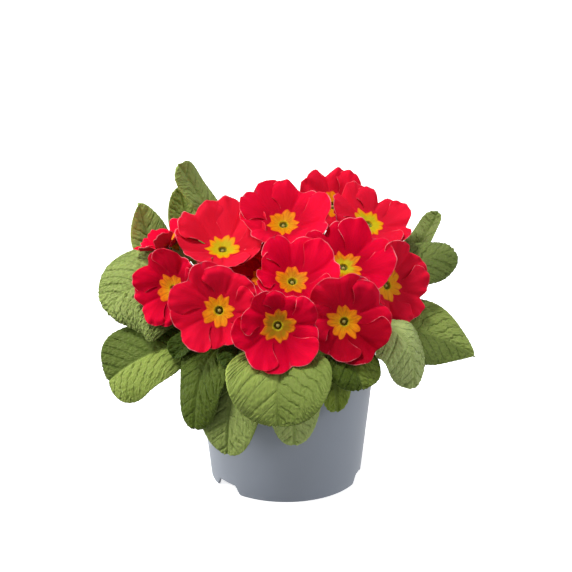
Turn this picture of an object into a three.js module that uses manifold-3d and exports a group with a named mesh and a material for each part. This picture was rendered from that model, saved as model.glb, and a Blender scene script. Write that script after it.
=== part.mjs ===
// A red primrose in a grey plastic nursery pot: the pot, its compost, the crown with every
// flower stalk, one node for each leaf, and a corolla and an eye for each bloom.
// Millimetres and degrees, +Z up, origin at the middle of the pot's foot. Azimuth 0 is the
// front of the plant (-Y) and grows towards its right side (+X).
import * as THREE from "three";
import { mergeVertices } from "three/addons/utils/BufferGeometryUtils.js";
import Module from "manifold-3d";

const wasm = await Module();
wasm.setup();

// ---------- driving dimensions ----------

const pot = {
  height: 84,
  footRadius: 43.3,
  flare: 0.108, // how much the wall's radius grows for each millimetre of height
  wall: 1.2,
  lipHeight: 5,
  lipStep: 0.9,
  floorUnderside: 5.8,
  floorThickness: 1.4,
  notchHeight: 5.2,
  notchAzimuths: [-50.7, 76.3, 192.8],
  notchFootHalfAngle: 14,
  notchTopHalfAngle: 8.5,
  drainRadius: 3.5,
  drainReach: 29,
  sides: 32,
};

const gap = 0.3; // running clearance between pieces that touch

const soil = { edgeHeight: 74, mound: 2.2, sides: 30 };

const crown = { radius: 9.6, bottom: 63, shoulder: 77, top: 80.5, sides: 12 };

// Two rings of leaf stalks stand round the crown.
const leafRings = [14.6, 22.4];
const leafRoot = { bottom: 66, collar: 78, halfWidth: 2.3, halfThickness: 1.25, holeRadius: 3.1 };
const blade = {
  start: 0.18, // share of the length where the stalk's wing opens into the blade
  widest: 0.7,
  blunt: 2.5, // 2 ends the blade in half an ellipse, more is squarer and less is pointed
  halfThickness: 0.42,
  ribHalfThickness: 0.95,
  columns: 6,
};

const bloom = {
  throatRadius: 2.9, // where the petals start
  petals: 5,
  joined: 0.4, // share of a petal's length over which it is grown to its neighbours
  freeHalfAngle: 35.7, // just past the join, before the petals overlap
  freeAt: 0.7,
  fullHalfAngle: 46,
  sideLength: 0.7, // length along a petal's side edge, as a share of the bloom's radius
  notchDepth: 0.1,
  notchWidth: 0.3,
  tilt: 1.6,
  halfThickness: 0.34,
  shares: [0, 0.4, 0.7, 1],
  columns: 4,
};

const eye = {
  pointRadius: 9.7,
  valleyRadius: 6.4,
  thickness: 0.6,
  throatRadius: 2.1,
  throatDepth: 2.0,
  pinHeight: 1.3,
};

const stalk = { radius: 1.25, sides: 5, steps: 5, spread: 0.085 };

// The calyx from neck to teeth: radius on and between its five ribs, and height, each pair
// measured from the throat's mouth.
const calyx = [
  { radius: [1.9, 1.7], height: [-11.2, -11.2] },
  { radius: [3.1, 2.5], height: [-6, -6] },
  { radius: [4.3, 3.0], height: [-0.55, -4.3] },
];
const calyxFloor = -4.6;

// Each bloom: throat centre, the way it faces (azimuth, elevation), the turn of its first
// petal, its radius and the height of its cup. Where its petals differ, each one's share of
// that radius and its extra lift at the edge.
const blooms = [
  { at: [-36.5, 24, 128], faces: [0, 65], turn: -13, radius: 24.5, cup: 11,
    reaches: [1.04, 1.18, 1.13, 1.06, 1], lifts: [0, 0, 4, 0, 0] },
  { at: [-1.5, 30, 141], faces: [4, 60], turn: -12, radius: 26, cup: 11.5,
    reaches: [1.1, 1, 1.04, 1, 0.9] },
  { at: [27.5, 62, 142], faces: [17, 50], turn: 20, radius: 23, cup: 8 },
  { at: [48, 46, 136], faces: [36, 56], turn: 40, radius: 25, cup: 9,
    reaches: [0.92, 1.08, 1, 0.9, 1] },
  { at: [32.5, 0, 126], faces: [14, 58], turn: 36, radius: 25.5, cup: 10,
    reaches: [1.12, 1.06, 0.95, 0.9, 1.15] },
  { at: [3.5, -22, 125.5], faces: [4, 57], turn: 17, radius: 25, cup: 10,
    reaches: [1.06, 1.05, 0.84, 0.9, 0.95] },
  { at: [-37, -36, 114], faces: [-11, 22], turn: -3, radius: 25, cup: 8,
    reaches: [0.92, 1.03, 1.1, 1.08, 0.87] },
  { at: [-4.5, -55, 112.5], faces: [1, 20], turn: 2, radius: 25, cup: 8,
    reaches: [0.94, 0.78, 0.86, 1.05, 1.1] },
  { at: [32, -44, 110.5], faces: [10, 22], turn: 24, radius: 24.5, cup: 8,
    reaches: [1.08, 1.1, 0.84, 0.94, 1.04] },
  { at: [57, 1, 115], faces: [38, 22], turn: -32, radius: 25, cup: 8,
    reaches: [1, 1.04, 0.6, 0.62, 0.96] },
  { at: [-63, -12, 117.5], faces: [-30, 12], turn: 0, radius: 23, cup: 8,
    reaches: [1, 1, 1, 1, 0.95] },
  { at: [-64, 29, 130], faces: [-98, 56], turn: 50, radius: 19.5, cup: 11,
    reaches: [0.72, 0.76, 1, 1.1, 1.04], lifts: [1, 0, 0, 0, 0] },
  { at: [-22, 66, 120], faces: [-164, 40], turn: 28, radius: 20.5, cup: 7, lifts: [0, 0, 0, 0, 1] },
  { at: [13, 72, 106], faces: [170, 34], turn: 8, radius: 21, cup: 6.5 },
  { at: [49.5, 68, 102], faces: [142, 34], turn: 12, radius: 21, cup: 7 },
  { at: [-11, 6, 118], faces: [-22, 60], turn: 16, radius: 20, cup: 6,
    reaches: [1, 1, 1.08, 1.1, 1] },
];

// Each leaf: its azimuth and ring, the reach and height of its rib's two handles and tip, its
// half width, the turn about its rib, and the fold and downward curl of its left and right.
const leaves = [
  { azimuth: -94, ring: 1, climb: [34, 102], arch: [82, 135], tip: [103, 96], width: 37,
    roll: -42, fold: [4, 8], curl: [30, 50], widest: 0.64 },
  { azimuth: -68, ring: 1, climb: [42, 95], arch: [81, 89], tip: [102, 61], width: 24,
    roll: -32, fold: [14, 12], curl: [10, 40], swing: -16, widest: 0.72, blunt: 3.2 },
  { azimuth: -63, ring: 0, climb: [28, 92], arch: [56, 98], tip: [70, 84], width: 12,
    roll: 0, fold: [20, 30], curl: [-30, 20] },
  { azimuth: -45, ring: 1, climb: [38, 98], arch: [71, 106], tip: [72, 49], width: 18,
    roll: -4, fold: [8, 12], curl: [30, 30] },
  { azimuth: -29, ring: 1, climb: [40, 88], arch: [64, 106], tip: [67, 37], width: 22,
    roll: 0, fold: [10, 12], curl: [12, 12], wave: 0.8 },
  { azimuth: -3, ring: 0, climb: [42, 98], arch: [80, 100], tip: [83, 65], width: 30,
    roll: 0, fold: [22, 20], curl: [10, 10], blunt: 2.1 },
  { azimuth: 4, ring: 1, climb: [38, 88], arch: [64, 106], tip: [62, 44], width: 16,
    roll: 0, fold: [10, 10], curl: [12, 12], wave: 0.8 },
  { azimuth: 26, ring: 1, climb: [38, 88], arch: [64, 104], tip: [63, 62], width: 12,
    roll: -4, fold: [10, 10], curl: [12, 12], wave: 0.8 },
  { azimuth: 33, ring: 0, climb: [36, 96], arch: [70, 98], tip: [77, 79], width: 19,
    roll: 0, fold: [12, 10], curl: [35, 35] },
  { azimuth: 59, ring: 1, climb: [40, 106], arch: [88, 122], tip: [83, 70], width: 19,
    roll: 4, fold: [-30, 2], curl: [10, 30] },
  { azimuth: 88, ring: 1, climb: [38, 96], arch: [80, 94], tip: [108, 74], width: 27,
    roll: 42, fold: [6, 10], curl: [10, 20], widest: 0.6, blunt: 1.3 },
  { azimuth: 113, ring: 0, climb: [34, 98], arch: [82, 122], tip: [107, 121], width: 18,
    roll: 24, fold: [20, 12], curl: [60, 40] },
  { azimuth: 127, ring: 1, climb: [42, 92], arch: [96, 104], tip: [113, 136], width: 9,
    roll: 0, fold: [30, 32], curl: [30, 30], widest: 0.8 },
  { azimuth: -158, ring: 0, climb: [38, 98], arch: [82, 136], tip: [80, 171], width: 10.5,
    roll: -2, fold: [12, 24], curl: [30, 30], swing: 29, widest: 0.84 },
  { azimuth: -142, ring: 1, climb: [38, 94], arch: [90, 104], tip: [94, 152], width: 15,
    roll: -2, fold: [22, 20], curl: [30, 30], swing: 4, widest: 0.8 },
  { azimuth: -124, ring: 1, climb: [44, 90], arch: [98, 98], tip: [104, 145], width: 17,
    roll: -2, fold: [20, 20], curl: [30, 30], widest: 0.75, blunt: 2 },
  { azimuth: 147, ring: 1, climb: [38, 90], arch: [78, 98], tip: [92, 72], width: 17,
    roll: 0, fold: [14, 16], curl: [40, 40] },
  { azimuth: 170, ring: 0, climb: [30, 90], arch: [74, 92], tip: [86, 74], width: 18,
    roll: -2, fold: [14, 12], curl: [40, 40] },
  { azimuth: 194, ring: 1, climb: [38, 90], arch: [78, 98], tip: [88, 70], width: 18,
    roll: 0, fold: [14, 14], curl: [40, 40] },
  { azimuth: -30, ring: 0, climb: [28, 94], arch: [48, 100], tip: [64, 88], width: 11,
    roll: 0, fold: [20, 20], curl: [20, 20] },
];

// ---------- solids from surfaces ----------

const radians = THREE.MathUtils.degToRad;
const clamp = (x) => Math.min(1, Math.max(0, x));
const smooth = (from, to, x) => {
  const share = clamp((x - from) / (to - from));
  return share * share * (3 - 2 * share);
};

// A direction in the plane of the table.
const outward = (azimuth) =>
  new THREE.Vector3(Math.sin(radians(azimuth)), -Math.cos(radians(azimuth)), 0);
const sideways = (azimuth) =>
  new THREE.Vector3(Math.cos(radians(azimuth)), Math.sin(radians(azimuth)), 0);

function geometryOf(points, triangles) {
  const geometry = new THREE.BufferGeometry();
  const flat = new Float32Array(points.flatMap((p) => [p.x, p.y, p.z]));
  geometry.setAttribute("position", new THREE.BufferAttribute(flat, 3));
  geometry.setIndex(triangles);
  return geometry;
}

// A closed three.js geometry as a manifold-3d solid, and back again.
function solidOf(geometry) {
  const bare = new THREE.BufferGeometry();
  bare.setAttribute("position", geometry.getAttribute("position"));
  bare.setIndex(geometry.index);
  const merged = mergeVertices(bare, 1e-4);
  return new wasm.Manifold(
    new wasm.Mesh({
      numProp: 3,
      vertProperties: merged.attributes.position.array,
      triVerts: new Uint32Array(merged.index.array),
    }),
  );
}

function geometryFrom(solid) {
  const mesh = solid.getMesh();
  const geometry = new THREE.BufferGeometry();
  geometry.setAttribute("position", new THREE.BufferAttribute(mesh.vertProperties, 3));
  geometry.setIndex(new THREE.BufferAttribute(mesh.triVerts, 1));
  return geometry;
}

// A thin closed blade round a surface: rows of { point, normal, half } from stalk to tip,
// with both faces split alike.
function bladeGeometry(rows) {
  const across = rows[0].length;
  const flat = rows.flat();
  const face = (sign) =>
    flat.map(({ point, normal, half }) => point.clone().addScaledVector(normal, sign * half));
  const under = flat.length;
  const triangles = [];
  const quad = (a, b, c, d) => triangles.push(a, b, c, a, c, d);
  for (let i = 0; i + 1 < rows.length; i++) {
    for (let j = 0; j + 1 < across; j++) {
      const a = i * across + j;
      const b = a + across;
      triangles.push(a, b, b + 1, a, b + 1, a + 1);
      triangles.push(under + a, under + b + 1, under + b, under + a, under + a + 1, under + b + 1);
    }
    const left = i * across;
    const right = left + across - 1;
    quad(left + across, left, under + left, under + left + across);
    quad(right, right + across, under + right + across, under + right);
  }
  const last = (rows.length - 1) * across;
  for (let j = 0; j + 1 < across; j++) {
    quad(j, j + 1, under + j + 1, under + j);
    quad(last + j + 1, last + j, under + last + j, under + last + j + 1);
  }
  return geometryOf([...face(1), ...face(-1)], triangles);
}

// A closed solid through rings of points, each counter-clockwise when seen from the next
// ring's side. A ring may have twice as many points as the one before it. A fan closes each
// end, and the last one's middle may be lifted.
function ringGeometry(rings, lift = new THREE.Vector3()) {
  const middle = (ring) =>
    ring.reduce((sum, p) => sum.add(p), new THREE.Vector3()).divideScalar(ring.length);
  const first = rings[0];
  const last = rings[rings.length - 1];
  const points = [...rings.flat(), middle(first), middle(last).add(lift)];
  const triangles = [];
  let a = 0;
  for (let i = 0; i + 1 < rings.length; i++) {
    const count = rings[i].length;
    const b = a + count;
    const double = rings[i + 1].length > count;
    for (let j = 0; j < count; j++) {
      const next = (j + 1) % count;
      if (double) {
        const after = (2 * j + 2) % (2 * count);
        triangles.push(a + j, b + 2 * j + 1, b + 2 * j);
        triangles.push(a + j, a + next, b + 2 * j + 1);
        triangles.push(a + next, b + after, b + 2 * j + 1);
      } else {
        triangles.push(a + j, a + next, b + next, a + j, b + next, b + j);
      }
    }
    a = b;
  }
  const foot = points.length - 2;
  first.forEach((_, j) => triangles.push(foot, (j + 1) % first.length, j));
  last.forEach((_, j) => triangles.push(foot + 1, a + j, a + ((j + 1) % last.length)));
  return geometryOf(points, triangles);
}

// A level ring about the Z axis. Radius and height may be functions of the azimuth.
function levelRing(azimuths, radius, height) {
  const value = (x, azimuth) => (typeof x === "function" ? x(azimuth) : x);
  return azimuths.map((azimuth) => {
    const point = outward(azimuth).multiplyScalar(value(radius, azimuth));
    point.z = value(height, azimuth);
    return point;
  });
}

const evenly = (count) => Array.from({ length: count }, (_, k) => (360 * k) / count);

// ---------- pot and compost ----------

const wallRadius = (height) => pot.footRadius + pot.flare * height;

// How high the foot is cut away: level over each notch, with a sloping side at each end.
function footHeight(azimuth) {
  const apart = pot.notchAzimuths.map((notch) =>
    Math.abs(((azimuth - notch + 540) % 360) - 180),
  );
  const nearest = Math.min(...apart);
  return pot.notchHeight * (1 - smooth(pot.notchTopHalfAngle, pot.notchFootHalfAngle, nearest));
}

function potSolid() {
  const corners = [pot.notchFootHalfAngle, 11, pot.notchTopHalfAngle];
  const notchColumns = pot.notchAzimuths.flatMap((notch) =>
    corners.flatMap((corner) => [notch - corner, notch + corner]),
  );
  const azimuths = [...evenly(pot.sides), ...notchColumns.map((a) => (a + 360) % 360)];
  azimuths.sort((a, b) => a - b);
  const lipFoot = pot.height - pot.lipHeight;
  const floorTop = pot.floorUnderside + pot.floorThickness;
  const rings = [
    levelRing(azimuths, wallRadius(pot.floorUnderside) - pot.wall - 0.8, pot.floorUnderside),
    levelRing(azimuths, wallRadius(0) - pot.wall, footHeight),
    levelRing(azimuths, wallRadius(0), footHeight),
    levelRing(azimuths, wallRadius(lipFoot), lipFoot),
    levelRing(azimuths, wallRadius(lipFoot) + pot.lipStep, lipFoot + 0.5),
    levelRing(azimuths, wallRadius(pot.height) + pot.lipStep, pot.height),
    levelRing(azimuths, wallRadius(pot.height) - pot.wall, pot.height),
    levelRing(azimuths, wallRadius(floorTop) - pot.wall, floorTop),
  ];
  const body = solidOf(ringGeometry(rings));
  const drain = new THREE.CylinderGeometry(pot.drainRadius, pot.drainRadius, 20, 10);
  drain.rotateX(Math.PI / 2);
  return pot.notchAzimuths.reduce((drained, azimuth) => {
    const at = outward(azimuth).multiplyScalar(pot.drainReach);
    return drained.subtract(solidOf(drain.clone().translate(at.x, at.y, pot.floorUnderside)));
  }, body);
}

// A plain hole for something that stands in the compost.
function plug(at, radius, sides, depth) {
  const height = 30;
  const hole = new THREE.CylinderGeometry(radius, radius, height, sides);
  hole.rotateX(Math.PI / 2);
  hole.translate(at.x, at.y, depth + height / 2);
  return solidOf(hole);
}

function soilSolid() {
  const azimuths = evenly(soil.sides);
  const floorTop = pot.floorUnderside + pot.floorThickness + gap;
  const fits = (height) => wallRadius(height) - pot.wall - gap - 0.15;
  const crumbs = (a) => 0.5 * Math.sin(radians(5 * a)) + 0.4 * Math.sin(radians(11 * a));
  const rings = [
    levelRing(azimuths, fits(floorTop), floorTop),
    levelRing(azimuths, fits(soil.edgeHeight - 1), (a) => soil.edgeHeight - 1 + 0.4 * crumbs(a)),
    levelRing(azimuths, 38, (a) => soil.edgeHeight + 0.5 * soil.mound + crumbs(a + 40)),
    levelRing(azimuths, 27, soil.edgeHeight + soil.mound),
  ];
  const middle = new THREE.Vector3();
  const holes = [
    plug(middle, crown.radius + gap + 0.2, crown.sides, crown.bottom - gap),
    ...leaves.map((leaf) =>
      plug(leafFoot(leaf), leafRoot.holeRadius, 6, leafRoot.bottom - gap),
    ),
  ];
  return holes.reduce((body, hole) => body.subtract(hole), solidOf(ringGeometry(rings)));
}

// ---------- leaves ----------

const leafFoot = (leaf) => outward(leaf.azimuth).multiplyScalar(leafRings[leaf.ring]);

function leafRib(leaf) {
  const handle = ([reach, height], swing) => {
    const point = outward(leaf.azimuth + swing).multiplyScalar(reach);
    point.z = height;
    return point;
  };
  const foot = leafFoot(leaf);
  foot.z = leafRoot.collar;
  return new THREE.CubicBezierCurve3(
    foot,
    handle(leaf.climb, 0),
    handle(leaf.arch, 0.4 * (leaf.swing ?? 0)),
    handle(leaf.tip, leaf.swing ?? 0),
  );
}

const widestAt = (leaf) => leaf.widest ?? blade.widest;

// Half the width at a share of the length: a winged stalk, then a blade with a round end.
function leafHalfWidth(leaf, share) {
  const widest = widestAt(leaf);
  if (share < widest) {
    const open = smooth(blade.start, widest, share);
    return leafRoot.halfWidth + (leaf.width - leafRoot.halfWidth) * open;
  }
  const end = (share - widest) / (1 - widest);
  const blunt = leaf.blunt ?? blade.blunt;
  return leaf.width * Math.pow(Math.max(0, 1 - Math.pow(end, blunt)), 1 / blunt);
}

// The leaf's surface, share 0 to 1 from collar to tip and side -1 to 1 across it.
function leafPoint(leaf, rib, share, side) {
  const centre = rib.getPoint(share);
  const along = rib.getTangent(share);
  const across = sideways(leaf.azimuth + (leaf.swing ?? 0) * share);
  across.addScaledVector(along, -across.dot(along)).normalize();
  across.applyAxisAngle(along, radians(leaf.roll * share));
  const up = along.clone().cross(across);
  const halfWidth = leafHalfWidth(leaf, share);
  const opened = smooth(0, widestAt(leaf), share);
  const half = side < 0 ? 0 : 1;
  const fold = radians(leaf.fold[half]) * opened;
  const curl = radians(leaf.curl[half]) * opened + 1e-4;
  const reach = Math.abs(side);
  const flatward = (halfWidth * (Math.sin(fold) - Math.sin(fold - curl * reach))) / curl;
  const rise = (halfWidth * (Math.cos(fold - curl * reach) - Math.cos(fold))) / curl;
  const ripple = Math.sin(2 * Math.PI * (3 * share + (side < 0 ? 0.35 : 0)) + leaf.azimuth);
  const lifted = rise + (leaf.wave ?? 1.4) * opened * reach * reach * ripple;
  return centre
    .clone()
    .addScaledVector(across, Math.sign(side) * flatward)
    .addScaledVector(up, lifted);
}

function leafGeometry(leaf) {
  const rib = leafRib(leaf);
  const nudge = 1e-3;
  const at = (share, side) => leafPoint(leaf, rib, clamp(share), side);
  const normalAt = (share, side) => {
    const along = at(share + nudge, side).sub(at(share - nudge, side));
    const across = at(share, side + nudge).sub(at(share, side - nudge));
    return along.cross(across).normalize();
  };
  const sides = Array.from({ length: blade.columns + 1 }, (_, j) => -1 + (2 * j) / blade.columns);
  const widest = widestAt(leaf);
  const shares = [0, 0.22, 0.42, 0.6, 0.77, 0.93].map((share) => share * widest);
  for (const degrees of [22, 42, 62, 80])
    shares.push(widest + (1 - widest) * Math.sin(radians(degrees)));
  const rows = shares.map((share) =>
    sides.map((side) => {
      const open = smooth(0.1, 0.5, share);
      const thin = side === 0 ? blade.ribHalfThickness * (1 - 0.4 * share) : blade.halfThickness;
      const roundish = leafRoot.halfThickness * Math.sqrt(1 - 0.85 * side * side);
      return {
        point: at(share, side),
        normal: normalAt(share, side),
        half: roundish + (thin - roundish) * open,
      };
    }),
  );
  const root = rows[0].map(({ point, normal, half }) => ({
    point: point.clone().setZ(leafRoot.bottom),
    normal: normal.clone().setZ(0).normalize(),
    half,
  }));
  return bladeGeometry([root, ...rows]);
}

// ---------- blooms ----------

// A bloom's own frame: Z is the way it faces, Y points up the plant.
function bloomMatrix({ at, faces: [azimuth, elevation] }) {
  const facing = outward(azimuth).multiplyScalar(Math.cos(radians(elevation)));
  facing.z = Math.sin(radians(elevation));
  const right = sideways(azimuth);
  const upward = facing.clone().cross(right);
  return new THREE.Matrix4().makeBasis(right, upward, facing).setPosition(...at);
}

const cupHeight = (flower, reach) => flower.cup * Math.pow(reach / flower.radius, 1.5);

// A petal's surface in the bloom's frame, share 0 to 1 from throat to edge and side -1 to 1.
function petalPoint(flower, petal, share, side) {
  const notch = bloom.notchDepth * Math.exp(-Math.pow(side / bloom.notchWidth, 2));
  const rounded = Math.sqrt(1 - Math.pow(Math.abs(side), 3));
  const shoulder = bloom.sideLength + (1 - bloom.sideLength) * rounded;
  const edge = flower.radius * (flower.reaches?.[petal] ?? 1) * (shoulder - notch);
  const joinedReach = bloom.throatRadius + bloom.joined * (flower.radius - bloom.throatRadius);
  const beyond = clamp((share - bloom.joined) / (1 - bloom.joined));
  const reach =
    share < bloom.joined
      ? bloom.throatRadius + (share / bloom.joined) * (joinedReach - bloom.throatRadius)
      : joinedReach + beyond * (edge - joinedReach);
  const sector = 180 / bloom.petals;
  const narrow = sector + (bloom.freeHalfAngle - sector) * smooth(bloom.joined, bloom.freeAt, share);
  const widening = clamp((share - bloom.freeAt) / (1 - bloom.freeAt));
  const halfAngle = narrow + (bloom.fullHalfAngle - narrow) * widening;
  const angle = radians(flower.turn + 2 * sector * petal + halfAngle * side);
  const lift = (flower.lifts?.[petal] ?? 0) * Math.pow(beyond, 1.3);
  const height = cupHeight(flower, reach) + lift + bloom.tilt * side * Math.min(1, 2 * beyond);
  return new THREE.Vector3(reach * Math.cos(angle), reach * Math.sin(angle), height);
}

// The corolla: five petals joined round the throat and overlapping further out.
function corollaGeometry(flower) {
  const { shares, columns, petals } = bloom;
  const points = [];
  for (const sign of [1, -1])
    for (let petal = 0; petal < petals; petal++)
      for (const share of shares)
        for (let j = 0; j <= columns; j++) {
          const point = petalPoint(flower, petal, share, -1 + (2 * j) / columns);
          const reach = Math.hypot(point.x, point.y);
          const slope = cupHeight(flower, reach + 0.5) - cupHeight(flower, reach - 0.5);
          const normal = new THREE.Vector3((-slope * point.x) / reach, (-slope * point.y) / reach, 1);
          points.push(point.addScaledVector(normal.normalize(), sign * bloom.halfThickness));
        }
  const across = columns + 1;
  const perPetal = shares.length * across;
  const under = petals * perPetal;
  const triangles = [];
  const quad = (a, b, c, d) => triangles.push(a, b, c, a, c, d);
  for (let petal = 0; petal < petals; petal++) {
    const start = petal * perPetal;
    for (let i = 0; i + 1 < shares.length; i++) {
      for (let j = 0; j < columns; j++) {
        const a = start + i * across + j;
        const b = a + across;
        triangles.push(a, b, b + 1, a, b + 1, a + 1);
        triangles.push(under + a, under + b + 1, under + b, under + a, under + a + 1, under + b + 1);
      }
      if (shares[i] < bloom.joined) continue;
      const left = start + i * across;
      const right = left + columns;
      quad(left + across, left, under + left, under + left + across);
      quad(right, right + across, under + right + across, under + right);
    }
    const edge = start + (shares.length - 1) * across;
    for (let j = 0; j < columns; j++) {
      const a = start + j;
      quad(a, a + 1, under + a + 1, under + a);
      quad(edge + j + 1, edge + j, under + edge + j, under + edge + j + 1);
    }
  }
  return geometryOf(points, triangles);
}

// The eye: a star on the petals' bases with two points on each petal, a throat and a pin.
function eyeGeometry(flower) {
  const columns = 3 * bloom.petals;
  const first = flower.turn + 36 - 360 / columns;
  const angles = Array.from({ length: columns }, (_, k) => first + (360 * k) / columns);
  const starReach = (k) => (k % 3 === 1 ? eye.valleyRadius : eye.pointRadius);
  const circle = (reach, height) =>
    angles.map((angle, k) => {
      const r = typeof reach === "function" ? reach(k) : reach;
      const z = typeof height === "function" ? height(r) : height;
      return new THREE.Vector3(r * Math.cos(radians(angle)), r * Math.sin(radians(angle)), z);
    });
  const seat = (r) => cupHeight(flower, r) + bloom.halfThickness + gap + 0.1;
  const rim = eye.throatRadius + 1.2;
  const floor = -eye.throatDepth + 0.7;
  return ringGeometry(
    [
      circle(eye.throatRadius, -eye.throatDepth),
      circle(eye.throatRadius, seat(rim)),
      circle(starReach, seat),
      circle(starReach, (r) => seat(r) + eye.thickness),
      circle(eye.throatRadius, seat(rim) + eye.thickness),
      circle(eye.throatRadius - 0.7, floor),
    ],
    new THREE.Vector3(0, 0, eye.pinHeight),
  );
}

// ---------- crown, stalks and calyces ----------

function crownSolid() {
  const azimuths = evenly(crown.sides);
  return solidOf(
    ringGeometry([
      levelRing(azimuths, crown.radius, crown.bottom),
      levelRing(azimuths, crown.radius, crown.shoulder),
      levelRing(azimuths, crown.radius * 0.7, crown.top),
    ]),
  );
}

// A stalk that bends up out of the crown, and the calyx with five teeth that it opens into.
function stalkGeometry(flower) {
  const matrix = bloomMatrix(flower);
  const right = new THREE.Vector3().setFromMatrixColumn(matrix, 0);
  const facing = new THREE.Vector3().setFromMatrixColumn(matrix, 2);
  const inBloom = (reach, angle, height) =>
    new THREE.Vector3(reach * Math.cos(angle), reach * Math.sin(angle), height).applyMatrix4(matrix);
  const [x, y] = flower.at;
  const foot = new THREE.Vector3(stalk.spread * x, stalk.spread * y, crown.top - 2);
  const neck = inBloom(0, 0, calyx[0].height[0] - 2.5);
  const path = new THREE.CubicBezierCurve3(
    foot,
    new THREE.Vector3(1.6 * foot.x, 1.6 * foot.y, foot.z + 18),
    neck.clone().addScaledVector(facing, -14),
    neck,
  );
  const rings = [];
  for (let i = 0; i <= stalk.steps; i++) {
    const centre = path.getPoint(i / stalk.steps);
    const along = path.getTangent(i / stalk.steps);
    const across = right.clone().addScaledVector(along, -right.dot(along)).normalize();
    const up = along.clone().cross(across);
    rings.push(
      Array.from({ length: stalk.sides }, (_, k) => {
        const angle = radians(flower.turn + (360 * k) / stalk.sides);
        return centre
          .clone()
          .addScaledVector(across, stalk.radius * Math.cos(angle))
          .addScaledVector(up, stalk.radius * Math.sin(angle));
      }),
    );
  }
  for (const { radius, height } of calyx)
    rings.push(
      Array.from({ length: 2 * stalk.sides }, (_, k) =>
        inBloom(radius[k % 2], radians(flower.turn + (180 * k) / stalk.sides), height[k % 2]),
      ),
    );
  const mouth = calyx[calyx.length - 1].height;
  const lift = facing.clone().multiplyScalar(calyxFloor - (mouth[0] + mouth[1]) / 2);
  return ringGeometry(rings, lift);
}

// ---------- the scene ----------

const finish = (color, roughness) => new THREE.MeshStandardMaterial({ color, roughness, metalness: 0 });
const greyPlastic = finish(0x7d828b, 0.5);
const compost = finish(0x3b2a1d, 1);
const stalkGreen = finish(0x9db36a, 0.7);
const petalRed = finish(0xd00a26, 0.6);
const eyeYellow = finish(0xe39a12, 0.6);
const leafGreens = [finish(0x86a04a, 0.65), finish(0x5d7a30, 0.65), finish(0x9fb062, 0.65)];

function piece(name, geometry, material) {
  const mesh = new THREE.Mesh(geometry, material);
  mesh.name = name;
  return mesh;
}

const plant = new THREE.Group();
plant.add(piece("pot", geometryFrom(potSolid()), greyPlastic));
plant.add(piece("compost", geometryFrom(soilSolid()), compost));

const stalks = blooms.reduce(
  (joined, flower) => joined.add(solidOf(stalkGeometry(flower))),
  crownSolid(),
);
plant.add(piece("crown_and_stalks", geometryFrom(stalks), stalkGreen));

leaves.forEach((leaf, k) => {
  const name = `leaf_${String(k + 1).padStart(2, "0")}`;
  plant.add(piece(name, leafGeometry(leaf), leafGreens[k % leafGreens.length]));
});

blooms.forEach((flower, k) => {
  const number = String(k + 1).padStart(2, "0");
  const head = new THREE.Group();
  head.applyMatrix4(bloomMatrix(flower));
  head.add(piece(`corolla_${number}`, corollaGeometry(flower), petalRed));
  head.add(piece(`eye_${number}`, eyeGeometry(flower), eyeYellow));
  plant.add(head);
});

export default plant;
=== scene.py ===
import math

import bpy
import numpy as np
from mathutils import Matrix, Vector


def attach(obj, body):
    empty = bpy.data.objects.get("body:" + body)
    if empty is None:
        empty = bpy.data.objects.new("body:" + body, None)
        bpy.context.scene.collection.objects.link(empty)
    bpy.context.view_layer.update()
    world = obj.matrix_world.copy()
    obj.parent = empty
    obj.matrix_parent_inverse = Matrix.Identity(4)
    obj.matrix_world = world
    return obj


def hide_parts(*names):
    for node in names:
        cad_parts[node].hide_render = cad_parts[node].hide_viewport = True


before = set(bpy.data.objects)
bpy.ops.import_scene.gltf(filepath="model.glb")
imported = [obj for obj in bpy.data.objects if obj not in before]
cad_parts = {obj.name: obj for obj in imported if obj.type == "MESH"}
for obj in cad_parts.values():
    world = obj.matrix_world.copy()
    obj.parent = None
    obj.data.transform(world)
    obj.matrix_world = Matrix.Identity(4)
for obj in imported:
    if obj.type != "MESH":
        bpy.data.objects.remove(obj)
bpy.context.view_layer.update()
scene = bpy.context.scene

# Sizes are millimetres and degrees until a mesh is made. Azimuth 0 is the front, -Y, and it
# grows towards +X.
mm = 0.001


# small sums

def ramp(low, high, x):
    return np.clip((x - low) / (high - low), 0, 1)


def smooth(low, high, x):
    share = ramp(low, high, x)
    return share * share * (3 - 2 * share)


def blend(low, high, share):
    return low + (high - low) * share


def around(count):
    # as many directions as that round a circle, in degrees
    return np.arange(count) * 360 / count


def outward(azimuth):
    a = np.radians(azimuth)
    return np.stack([np.sin(a), -np.cos(a), 0 * a], axis=-1)


def sideways(azimuth):
    a = np.radians(azimuth)
    return np.stack([np.cos(a), np.sin(a), 0 * a], axis=-1)


def level(azimuth, reach, height):
    # points at a reach from the Z axis and a height
    points = outward(azimuth) * np.asarray(reach)[..., None]
    points[..., 2] = height
    return points


def circle(turn, reach, height):
    # points round the Z axis, their turn in radians from +X
    return np.stack(np.broadcast_arrays(reach * np.cos(turn), reach * np.sin(turn), height), axis=-1)


def travelled(points):
    # how far each point is along a line, or down the columns of a grid
    steps = np.linalg.norm(np.diff(points, axis=0), axis=-1)
    return np.concatenate([0 * steps[:1], np.cumsum(steps, axis=0)])


def dot(a, b):
    return np.sum(a * b, axis=-1, keepdims=True)


def unit(v):
    return v / np.maximum(np.linalg.norm(v, axis=-1, keepdims=True), 1e-9)


def turned(v, axis, angle):
    # v turned about a unit axis, angle in radians
    c, s = np.cos(angle), np.sin(angle)
    return v * c + np.cross(axis, v) * s + axis * dot(axis, v) * (1 - c)


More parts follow.
